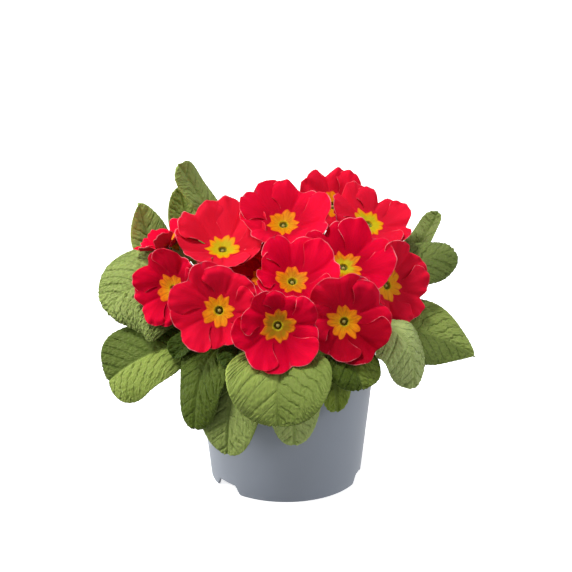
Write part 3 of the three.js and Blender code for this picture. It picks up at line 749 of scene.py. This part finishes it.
def makeLeaf(number, leaf):
    form = leafForm
    seed = number * 1.7
    share = leafShares(leaf)
    columns = 2 * int(leaf["width"] / form["spacing"] / 1.02) + 1
    columns += (columns - 1) % 4
    side = np.linspace(-1, 1, columns)
    middle = leafSurface(leaf, share, side)
    normal = gridNormals(middle)
    halfWidth = leafHalfWidth(leaf, share)[:, None]
    travel = travelled(middle[:, columns // 2])[:, None]
    offset = side[None, :] * halfWidth      # across the blade, from the rib
    away = np.abs(offset)
    opened = smooth(form["start"], form["start"] + 0.3, share)[:, None]
    toEdge = halfWidth - away

    # side veins run out and forward, and the skin is pleated and pillowed between them
    wobble = drift(travel * 0.09, offset * 0.09, seed)
    lane = (travel - form["veinSlant"] * away - form["veinBend"] * away ** 2) / form["veinGap"]
    lane = lane + 0.4 * wobble + 0.12 * drift(travel * 0.5, offset * 0.5, seed + 4)
    lane = lane + np.where(side < 0, 0.4, 0)[None, :]
    valley = 1 - smooth(0, 0.15, np.abs((lane + 0.5) % 1 - 0.5))
    fork = (1 - smooth(0, 0.12, np.abs(lane % 1 - 0.5))) * smooth(0.35, 0.75, away / leaf["width"])
    patchy = smooth(-0.9, 0.5, drift(travel * 0.22, offset * 0.22, seed + 6))
    pleats = 1 - np.maximum(valley, 0.7 * fork) * patchy
    lean = 0.35 * drift(travel * 0.3, offset * 0.3, seed + 8)
    large = cellRise(lane * 2.2 + lean, away / 4.2 + 0.5 * wobble, seed, 0.5)
    small = cellRise(travel / 2.5 + lean, offset / 2.7 + 0.6 * wobble, seed + 2, 0.6)
    pillows = 0.5 * large + 0.5 * small
    nearRib = 1 - smooth(0.3, 1.5, away)
    ease = opened * smooth(-0.3, 2.0, toEdge) * (1 - 0.85 * nearRib)
    pleat = form["pleat"] * min(1, 0.3 + 0.8 * leaf["puff"])
    height = (pleat * (pleats - 0.6) + form["puff"] * leaf["puff"] * (pillows - 0.6)) * ease
    height = height - 0.55 * nearRib * opened

    # a scalloped margin
    for column, sign in ((0, -1), (-1, 1)):
        margin = middle[:, column]
        out = unit(np.cross(unit(np.gradient(margin, axis=0)), normal[:, column])) * sign
        gone = travelled(margin)
        lobes = np.abs(np.sin(np.pi * gone / form["scallopGap"] + seed)) ** 0.7 - 0.6
        lobes = lobes * (0.7 + 0.5 * drift(gone * 0.2, 0 * gone, seed + 3))
        near = np.exp(-((toEdge / 1.3) ** 2)) * (np.sign(side)[None, :] == sign)
        push = form["scallop"] * lobes * opened[:, 0] * smooth(0, 4, halfWidth[:, 0])
        middle = middle + out[:, None] * (push[:, None] * near)[..., None]

    roundish = form["stalkHalf"] * np.sqrt(1 - 0.85 * side ** 2)[None, :]
    thin = form["bladeHalf"] * (0.45 + 0.55 * smooth(0, 1.5, toEdge))
    spread = smooth(0.1, 0.45, share)[:, None]
    half = blend(roundish, thin, spread)
    ribDrop = form["ribDrop"] * (1 - 0.75 * share[:, None]) * np.exp(-((away / 1.1) ** 2)) * spread
    ribDrop = ribDrop + 0.35 * valley * ease * spread
    top = middle + normal * (half + height)[..., None]
    under = middle + normal * (height - half - ribDrop)[..., None]

    vein = np.maximum(0.9 * nearRib, leaf["veins"] * valley * ease) * (0.4 + 0.6 * opened)
    rise = np.clip(0.5 + 0.55 * (height / (form["pleat"] + form["puff"])) * 2, 0, 1)
    rise = rise * (1 - nearRib * opened) + 0.6 * nearRib * opened
    left, right = leaf["halves"]
    # painted shade: the leaf's dark setting, its shaded half, and its base under the blooms, where
    # shade falls
    shade = leaf["dark"] + left * smooth(0.04, -0.04, side) + right * smooth(-0.04, 0.04, side)
    shade = np.maximum(shade[None, :], 1 - smooth(0.42, 0.68, share)[:, None])

    # the stalk's root stands in the compost: the first row again, lower
    grids = [top, under, rise, vein, toEdge + 6 * (1 - opened), shade, lane, away]
    top, under, rise, vein, edge, shade, lane, away = [np.concatenate([g[:1], g]) for g in grids]
    top[0, :, 2] = under[0, :, 2] = form["root"]
    shape = Shape()
    # dark carries the painted shade and light the painted light
    blade(shape, top, under, 2, rise=rise, vein=vein, edge=edge, dark=shade, lane=lane, away=away,
          **{key: leaf[key] for key in ("puff", "crimp", "tone", "lime", "light")})
    makePiece("leafBlade_%02d" % number, shape, leafSkin, "leaf_%02d" % number)


for number, leaf in enumerate(leaves, 1):
    makeLeaf(number, leaf)
print("leaves made:", len(leaves), "with", made["triangles"], "triangles so far")


# blooms

bloomForm = dict(
    throat=2.9, joined=0.3, fullHalfAngle=53,
    sideLength=0.76, notchDepth=0.14, notchWidth=0.22, tilt=1.6,
    half=0.17, rows=33, columns=49,
    lobe=1.9, crease=1.3, ruffle=0.5, wave=1.3, recurve=1.2, roll=1.1,
    rimWidth=0.36,
    # the reach and height of the tube's rings, down outside and up inside
    tube=((3.1, 0), (2.75, -0.6), (2.45, -1.6), (2.25, -3.2), (2.1, -6), (1.9, -10),
          (1.4, -10), (1.7, -6), (1.9, -3.2), (2.1, -1.6), (2.45, -0.2)),
)

# Each bloom's throat, the way it faces, the turn of its first petal, its radius and its cup.
# Then what differs from the usual bloom: each petal's share of that radius, its lift and its
# painted shade, how much painted light the petals and the eye have (lit), and the lime glow and
# olive tint of the eye.
bloomColumns = ("at", "faces", "turn", "radius", "cup")
usualBloom = dict(reaches=(1,) * 5, lifts=(0,) * 5, shades=(0,) * 5, lit=0, glow=0.16, olive=0.15)
blooms = [
    (((-36.5, 24, 128), (0, 65), -13, 24.5, 11),
     dict(reaches=(1.04, 1.18, 1.13, 1.14, 1), lifts=(0, 0, 4, 0, 0), lit=0.9, glow=0.7, olive=0.1,
          shades=(0.45, 0, 0.1, 0.25, 0.15))),
    (((-1.5, 30, 141), (4, 60), -12, 26, 11.5),
     dict(reaches=(1.1, 1, 1.04, 1, 0.9), lit=0.2, olive=0.3)),
    (((27.5, 62, 142), (17, 50), 20, 23, 8), dict(lit=0.5, olive=0.1)),
    (((48, 46, 136), (36, 56), 40, 25, 9),
     dict(reaches=(0.92, 1.08, 1, 0.9, 1), lit=0.7, glow=0.75, olive=0.0)),
    (((32.5, 0, 126), (14, 58), 36, 25.5, 10),
     dict(reaches=(1.12, 1.06, 0.95, 0.9, 1.15), glow=0.5, olive=0.3,
          shades=(0.1, 0.2, 0.4, 0.2, 0.1))),
    (((3.5, -22, 125.5), (4, 57), 17, 25, 10), dict(reaches=(1.06, 1.05, 0.84, 0.9, 0.95), olive=0.45)),
    (((-37, -36, 114), (-11, 22), -3, 25, 8),
     dict(reaches=(0.92, 1.03, 1.16, 1.08, 0.87), olive=0.1, lit=0.25)),
    (((-4.5, -55, 112.5), (1, 20), 2, 25, 8), dict(reaches=(0.94, 0.78, 0.86, 1.05, 1.1), olive=0.8)),
    (((32, -44, 110.5), (10, 22), 24, 24.5, 8),
     dict(reaches=(1.08, 1.1, 0.84, 0.94, 1.04), olive=0.0, lit=0.15, shades=(0, 0, 0.1, 0.8, 0.9))),
    (((57, 1, 115), (38, 22), -32, 25, 8),
     dict(reaches=(1, 1.04, 0.6, 0.62, 0.96), olive=0.0, lit=0.6)),
    (((-63, -12, 117.5), (-30, 12), 0, 23, 8), dict(reaches=(1.06, 1.1, 1, 1, 0.95), olive=0.0)),
    (((-64, 29, 130), (-98, 56), 50, 19.5, 11),
     dict(reaches=(0.72, 0.76, 1, 1.1, 1.04), lifts=(1, 0, 0, 0, 0))),
    (((-22, 66, 120), (-164, 40), 28, 20.5, 7), dict(lifts=(0, 0, 0, 0, 1))),
    (((13, 72, 106), (170, 34), 8, 21, 6.5), dict()),
    (((49.5, 68, 102), (142, 34), 12, 21, 7), dict()),
    (((-11, 6, 118), (-22, 60), 16, 20, 6), dict(reaches=(1, 1, 1.08, 1.1, 1))),
]
blooms = [{**usualBloom, **dict(zip(bloomColumns, form)), **more} for form, more in blooms]


def bloomMatrix(flower):
    azimuth, elevation = flower["faces"]
    elevation = math.radians(elevation)
    facing, right = level(azimuth, math.cos(elevation), math.sin(elevation)), sideways(azimuth)
    matrix = np.eye(4)
    matrix[:3] = np.stack([right, np.cross(facing, right), facing, flower["at"]], axis=-1)
    return matrix


def cupHeight(flower, reach):
    return flower["cup"] * (np.maximum(reach, 0) / flower["radius"]) ** 1.5


def petalSurface(flower, petal, share, side, luck):
    # a petal's middle over share (throat to edge) and side, with its lobes, crease and ruffles
    form, throat, joined = bloomForm, bloomForm["throat"], bloomForm["joined"]
    radius = flower["radius"] * flower["reaches"][petal] * (1 + 0.02 * luck[0])
    notch = form["notchDepth"] * (1 + 0.4 * luck[1]) * np.exp(-np.abs(side / form["notchWidth"]) ** 1.5)
    rounded = np.sqrt(1 - np.abs(side) ** 2.6)
    shoulder = blend(form["sideLength"], 1, rounded)
    nibbled = 0.012 * np.sin(7 * side + 6 * luck[2]) + 0.006 * np.sin(19 * side + 9 * luck[3])
    edge = radius * (shoulder - notch + nibbled * np.sqrt(rounded))
    joinedReach = blend(throat, flower["radius"], joined)
    beyond = ramp(joined, 1, share)
    near = blend(throat, joinedReach, np.minimum(share / joined, 1))
    reach = np.where(share < joined, near, blend(joinedReach, edge, beyond))
    halfAngle = blend(36, form["fullHalfAngle"], smooth(joined, 1.05, share))
    angle = np.radians(flower["turn"] + 72 * petal + halfAngle * side)
    lift = flower["lifts"][petal] * beyond ** 1.3
    lobes = np.sin(np.pi * np.minimum(np.abs(side) * 1.05, 1)) - 0.35
    crease = np.exp(-((side / 0.13) ** 2))
    margin = smooth(0.7, 1.0, np.abs(side)) * smooth(joined, 0.7, share)
    folds = 0.6 * np.sin(7 * side + 5 * luck[4]) + 0.4 * np.sin(13 * side + 8 * luck[5])
    frill = np.sin(17 * side + 9 * luck[6]) + 0.6 * np.sin(29 * side + 7 * luck[7])
    height = (cupHeight(flower, reach) + lift + form["tilt"] * side * np.minimum(1, 2 * beyond)
              + form["lobe"] * (0.8 + 0.5 * luck[8]) * lobes * beyond
              - form["crease"] * crease * np.sqrt(beyond)
              + form["wave"] * folds * beyond ** 1.5 * 0.6
              + form["ruffle"] * frill * smooth(0.72, 1.0, share)
              + form["roll"] * np.where(side < 0, luck[4], luck[7]) * margin
              - form["recurve"] * (0.4 + luck[9]) * smooth(0.75, 1.0, share) ** 2 * 1.6)
    return circle(angle, reach, height)


def makeCorolla(number, flower):
    form, joined = bloomForm, bloomForm["joined"]
    draw = np.random.default_rng(100 + number)
    shape = Shape()
    share = np.concatenate([np.linspace(0, joined, 7, endpoint=False),
                            np.linspace(joined, 0.9, form["rows"] - 13, endpoint=False),
                            np.linspace(0.9, 1, 6)])
    across = np.linspace(-0.5 * np.pi, 0.5 * np.pi, form["columns"])
    share, side = share[:, None], np.sin(across * 0.97)[None, :] / math.sin(0.485 * np.pi)
    for petal in range(5):
        luck = draw.uniform(-1, 1, 10)
        middle = petalSurface(flower, petal, share, side, luck)
        normal = gridNormals(middle)
        toTip = travelled(middle[::-1])[::-1]
        fromLeft = travelled(middle.swapaxes(0, 1)).T
        toSide = np.minimum(fromLeft, fromLeft[:, -1:] - fromLeft)
        toSide = toSide + 40 * (1 - smooth(joined, joined + 0.06, share))
        toEdge = np.minimum(toTip, toSide)
        half = (form["half"] * (0.5 + 0.5 * smooth(0, 1.2, toEdge)))[..., None]
        # the pale rim comes and goes
        patchy = drift(5 * side + 9 * luck[1], 6 * share + 9 * luck[2], number + petal)
        rim = (1 - smooth(0.05, form["rimWidth"], toEdge)) * (0.15 + 0.85 * smooth(-0.3, 0.5, patchy))
        rim = rim * (0.15 + 0.85 * smooth(0.5, 0.85, share))
        # lit and shade carry the painted light and painted shade
        blade(shape, middle + normal * half, middle - normal * half, 2, out=share, rim=rim,
              lit=flower["lit"], shade=flower["shades"][petal], round=petal + 0.5 + 0.5 * side)
    # the tube that runs down into the calyx
    turn = np.radians(around(40))
    throatHeight = cupHeight(flower, form["throat"])
    rings = [circle(turn, reach, throatHeight + height) for reach, height in form["tube"]]
    tube(shape, np.stack([*rings[::-1], rings[-1]]), caps=False, out=0.1, throat=1.0)
    makePiece("petals_%02d" % number, shape, petalSkin, "corolla_%02d" % number,
              bloomMatrix(flower))


eyeForm = dict(
    point=10.4, valley=6.6, dip=8.8, throat=2.45, inset=0.45, sheet=0.2,
    wellDepth=3.4, pinRadius=1.1, pinTop=0.35, columns=180,
    # the reach and height of the rings of the throat's floor and wall
    well=((0.3, -3.4), (1.2, -3.4), (1.85, -2.9), (2.1, -2.2), (2.25, -1.0)),
)


def starReach(turn, draw):
    # two points on each petal, with a deep valley between petals and a shallow dip within one
    valley, point, dip = eyeForm["valley"], eyeForm["point"], eyeForm["dip"]
    corners = []
    for petal in range(5):
        size = draw.uniform(0.88, 1.08)
        wide = draw.uniform(10.5, 14.5)
        flank = 0.5 * (valley + point) * size * 1.06
        corners += [(-36, valley * draw.uniform(0.9, 1.12)), (-21, flank),
                    (-wide, point * size * draw.uniform(0.86, 1.12)),
                    (draw.uniform(-2, 2), dip * size * draw.uniform(0.9, 1.04)),
                    (wide, point * size * draw.uniform(0.93, 1.05)), (21, flank)]
    angles, reaches = np.transpose(corners)
    return np.interp(turn % 360, angles + np.repeat(72 * np.arange(5), 6), reaches, period=360)


def makeEye(number, flower):
    form, throat = eyeForm, eyeForm["throat"]
    draw = np.random.default_rng(500 + number)
    turn = around(form["columns"])
    reach = starReach(turn, draw)
    reach = 0.5 * reach + 0.25 * (np.roll(reach, 1) + np.roll(reach, -1))
    angle = np.radians(flower["turn"] + turn)
    seat = bloomForm["half"] + 0.02
    crease = np.cos(np.radians(5 * turn))

    def lying(share, above):
        # a ring on the petals, from the throat (0) to the star's outline (1)
        radius = blend(throat + form["inset"], reach, share)
        ridge = 0.14 * crease * smooth(1.0, 0.5, share)
        return circle(angle, radius, cupHeight(flower, radius) + seat + above + ridge)

    # rings from the throat's floor up, over the star and back beneath it, and how far out each is
    mouth = cupHeight(flower, throat) + seat + form["sheet"]
    rows = [(circle(angle, *spot), 0.0) for spot in form["well"]]
    rows += [(circle(angle, throat - 0.06, mouth - 0.35), 0.05),
             (circle(angle, throat + 0.1, mouth + 0.12 + 0.1 * crease), 0.12)]
    rows += [(lying(share, form["sheet"] * (1 - share ** 6)), 0.15 + 0.85 * share)
             for share in np.linspace(0, 1, 13)]
    rows += [(lying(0.99, -0.12), 1.0), (lying(0.0, -0.12), 0.2), (circle(angle, 2.55, -1.6), 0.2),
             (circle(angle, 2.2, -form["wellDepth"] - 0.4), 0.0)]
    out = np.array([o for _, o in rows])[:, None]
    hole = np.zeros(out.shape)
    hole[:6, 0] = 1, 1, 1, 1, 0.75, 0.35
    glow = 1 - smooth(flower["glow"] * 0.6, flower["glow"] * 1.3, out)
    spoke = np.exp(-(((turn + 36) % 72 - 36) / 3.0) ** 2)[None, :] * smooth(0.3, 0.8, out)
    shape = Shape()
    # lit carries the painted light
    tube(shape, np.stack([r for r, _ in rows]), out=out, hole=hole, olive=flower["olive"], glow=glow,
         spoke=spoke, lit=flower["lit"], round=turn[None, :] / 72)
    # the pin in the throat
    bend, ball, top = np.radians(np.linspace(-60, 84, 9)), form["pinRadius"], form["pinTop"]
    pin = [(0.28, -form["wellDepth"] - 0.1), (0.28, top - 1.4),
           *zip(ball * np.cos(bend), top - ball * (1 - np.sin(bend)))]
    turn = np.radians(around(24))
    tube(shape, np.stack([circle(turn, *spot) for spot in pin]), out=0.3, pin=1.0)
    makePiece("eyeStar_%02d" % number, shape, eyeSkin, "eye_%02d" % number,
              bloomMatrix(flower))


for number, flower in enumerate(blooms, 1):
    makeCorolla(number, flower)
    makeEye(number, flower)
print("blooms made:", len(blooms), "with", made["triangles"], "triangles so far")


# crown, stalks and calyces

crown = dict(radius=9.6, bottom=68, shoulder=77, top=80.5)
# splay, climb and approach are how a stalk leaves the crown and comes to its bloom
stalkForm = dict(radius=1.25, spread=0.085, splay=1.6, climb=18, approach=14, rows=30, sides=12)
# heights are below the bloom's throat, and radii are on a rib and between ribs
calyxForm = dict(
    foot=-13.7, neck=-11.2, waist=-6, valley=-4.3, tooth=-0.55,
    neckRadius=1.8, waistRadius=(3.1, 2.5), mouthRadius=(4.3, 3.1),
    wall=0.35, rows=16, innerRows=9, sides=60,
)
fuzz = dict(length=0.9, radius=0.035, perStalk=150, perCalyx=110, seed=11)


def hairs(shape, roots, directions, draw):
    # slim three-sided spikes with their roots under the skin
    count = len(roots)
    length = fuzz["length"] * draw.uniform(0.6, 1.25, (count, 1))
    aside = unit(np.cross(directions, draw.normal(size=(count, 3))))
    third = np.cross(directions, aside)
    base = roots - directions * 0.15
    points = [base + fuzz["radius"] * (aside * math.cos(a) + third * math.sin(a))
              for a in (0, 2.094, 4.189)]
    points.append(roots + directions * length)
    first = np.arange(count)[:, None] * 4
    faces = [first + np.array([corners]) for corners in ((0, 1, 3), (1, 2, 3), (2, 0, 3), (2, 1, 0))]
    shape.add(np.stack(points, axis=1), faces)


def makeStalk(shape, flower, draw):
    form, matrix = stalkForm, bloomMatrix(flower)
    right, facing, throat = matrix[:3, 0], matrix[:3, 2], matrix[:3, 3]
    foot = form["spread"] * throat
    foot[2] = crown["top"] - 2
    neck = throat + facing * calyxForm["foot"]
    share = np.linspace(0, 1, form["rows"])
    path, along = bezier([foot, foot * (form["splay"], form["splay"], 1) + (0, 0, form["climb"]),
                          neck - form["approach"] * facing, neck], share)
    across = unit(right - along * dot(right, along))
    up = np.cross(along, across)
    turn = np.radians(flower["turn"] + around(form["sides"]))
    fat = form["radius"] * (1.12 - 0.12 * share)[:, None, None]
    spokes = across[:, None] * np.cos(turn)[None, :, None] + up[:, None] * np.sin(turn)[None, :, None]
    tube(shape, path[:, None] + spokes * fat, blush=1 - share[:, None])
    picks = draw.integers(2, form["rows"] - 1, fuzz["perStalk"])
    sides = draw.integers(0, form["sides"], fuzz["perStalk"])
    slide = draw.uniform(0, 1, (fuzz["perStalk"], 1)) * (path[picks] - path[picks - 1])
    lean = unit(spokes[picks, sides] + 0.3 * along[picks])
    hairs(shape, path[picks] - slide + spokes[picks, sides] * fat[picks, 0], lean, draw)


def makeCalyx(shape, flower, draw):
    # a ribbed cup with five teeth, open at the mouth
    form, matrix = calyxForm, bloomMatrix(flower)
    facing, throat = matrix[:3, 2], matrix[:3, 3]
    foot, neck, waist, tooth = [form[key] for key in ("foot", "neck", "waist", "tooth")]
    angle = around(form["sides"])
    turn = np.radians(flower["turn"] + angle)
    onRib = 0.5 + 0.5 * np.cos(np.radians(5 * angle))
    saw = np.abs((angle / 72 + 0.5) % 1 - 0.5) * 2      # 0 on a rib, 1 between ribs
    mouth = blend(form["valley"], tooth, (1 - saw) ** 1.15)
    waistRadius, mouthRadius = [blend(between, on, onRib)
                                for on, between in (form["waistRadius"], form["mouthRadius"])]

    def ring(share, inset):
        height = blend(foot + 0.3, mouth, share)
        radius = blend(form["neckRadius"], waistRadius, smooth(neck - 1.5, waist, height))
        radius = radius + (mouthRadius - waistRadius) * ramp(waist, tooth, height)
        return circle(turn, np.maximum(radius - inset, 0.4), height) @ matrix[:3, :3].T + throat

    shares = np.linspace(0, 1, form["rows"])
    inner = shares[::-1][:form["innerRows"]]
    rings = np.stack([ring(s, 0.0) for s in shares] + [ring(s, form["wall"]) for s in inner])
    blush = np.concatenate([shares ** 4, 0 * inner])[:, None] * 0.6
    tube(shape, rings, rib=onRib[None, :] ** 3, blush=blush)
    picks = draw.integers(1, form["rows"] - 2, fuzz["perCalyx"])
    roots = rings[picks, draw.integers(0, form["sides"], fuzz["perCalyx"])]
    axis = throat + facing * dot(roots - throat, facing)
    hairs(shape, roots, unit(unit(roots - axis) + 0.4 * facing), draw)


def makeCrown():
    shape = Shape()
    azimuth = around(64)
    lumps = 1 + 0.07 * np.cos(np.radians(5 * azimuth)) + 0.04 * np.cos(np.radians(11 * azimuth + 40))
    profile = [(0.9, crown["bottom"]), (1.0, 73), (1.02, 75), (1.0, crown["shoulder"]),
               (0.93, 78.4), (0.8, 79.6), (0.62, 80.3), (0.3, crown["top"])]
    rings = [level(azimuth, crown["radius"] * scale * lumps, height) for scale, height in profile]
    tube(shape, np.stack(rings), blush=np.linspace(1, 0.4, len(profile))[:, None])
    draw = np.random.default_rng(fuzz["seed"])
    for flower in blooms:
        makeStalk(shape, flower, draw)
        makeCalyx(shape, flower, draw)
    makePiece("crownAndStalks", shape, stalkSkin, "crown_and_stalks")


makeCrown()
print("stalks made:", made["triangles"], "triangles in", made["pieces"], "pieces")


# floor, light and camera

studio = dict(
    floor=(250, 250, 250), cloud=(246, 247, 248), floorRadius=6000, floorGlow=0.8, world=0.28,
)


def makeFloor():
    turn = np.radians(around(96))
    wide = studio["floorRadius"]
    corners = ((0.02, -2.0), (wide, -2.0), (wide, 0.0), (0.02, 0.0))
    shape = Shape()
    tube(shape, np.stack([circle(turn, reach, height) for reach, height in corners]))
    mesh = makeMesh("studioFloor", shape, rounded=False)
    f = Finish("floorWhite", studio)
    base = f.layers("floor", (f.noise(3, 2).fit(0.3, 0.7) * 0.3, "cloud"))
    mesh.materials.append(f.close(f.node("BsdfPrincipled", {}, {
        "Base Color": base, "Roughness": 0.8, "Specular IOR Level": 0.1,
        "Emission Color": colour(*studio["floor"]), "Emission Strength": studio["floorGlow"]})))
    floor = placed("studioFloor", mesh)
    floor.visible_diffuse = False


def makeWorld():
    # dim for the light it gives, and white where the camera looks past the floor
    w = Finish("studio", studio, bpy.data.worlds.new("studio"))
    dim = w.node("Background", {}, ((0.96, 0.98, 1.0, 1.0), studio["world"]))
    bright = w.node("Background", {}, ((1.0, 1.0, 1.0, 1.0), 1.0))
    seen = w.node("LightPath", out="Is Camera Ray")
    scene.world = w.close(w.node("MixShader", {}, (seen, dim, bright)), "ShaderNodeOutputWorld")


def aimed(name, data, place, aim):
    # a light or camera that stands at a place and looks at its aim, in metres
    thing = placed(name, data)
    thing.location = place
    thing.rotation_euler = (Vector(aim) - Vector(place)).to_track_quat("-Z", "Y").to_euler()
    return thing


# place, aim, width, height, power and colour of each softbox, in metres and watts
softboxes = {
    "keyLeft": ((-1.3, -0.1, 0.5), (0, 0, 0.1), 0.5, 0.8, 10.5, (1.0, 0.99, 0.96)),
    "fillRight": ((1.3, 0.1, 0.5), (0, 0, 0.1), 0.5, 0.9, 4, (0.95, 0.98, 1.0)),
    "top": ((-0.5, -0.2, 1.3), (0, 0, 0.1), 0.35, 0.35, 14, (1.0, 1.0, 1.0)),
    "backLeft": ((-1.1, 0.8, 0.7), (0, 0, 0.13), 0.5, 0.5, 5, (1.0, 1.0, 0.97)),
    "frontRight": ((0.95, -1.15, 0.75), (0, 0, 0.1), 0.5, 0.5, 3.5, (1.0, 1.0, 1.0)),
}


def makeLights():
    for name, (place, aim, width, height, power, tint) in softboxes.items():
        light = bpy.data.lights.new(name, "AREA")
        light.shape, light.size, light.size_y = "RECTANGLE", width, height
        light.energy, light.color = power, tint
        aimed(name, light, place, aim)


view = dict(place=(0.0, -1.21767, 0.57027), aim=(0.0, 0.0, 0.115), lens=144.06, sensor=36.0)


def makeCamera():
    data = bpy.data.cameras.new("camera")
    data.lens, data.sensor_width, data.sensor_fit = view["lens"], view["sensor"], "HORIZONTAL"
    data.clip_start, data.clip_end = 0.05, 30
    scene.camera = aimed("camera", data, view["place"], view["aim"])


makeFloor()
makeWorld()
makeLights()
makeCamera()
scene.view_settings.view_transform = "Standard"
scene.view_settings.look = "None"
print("studio made")
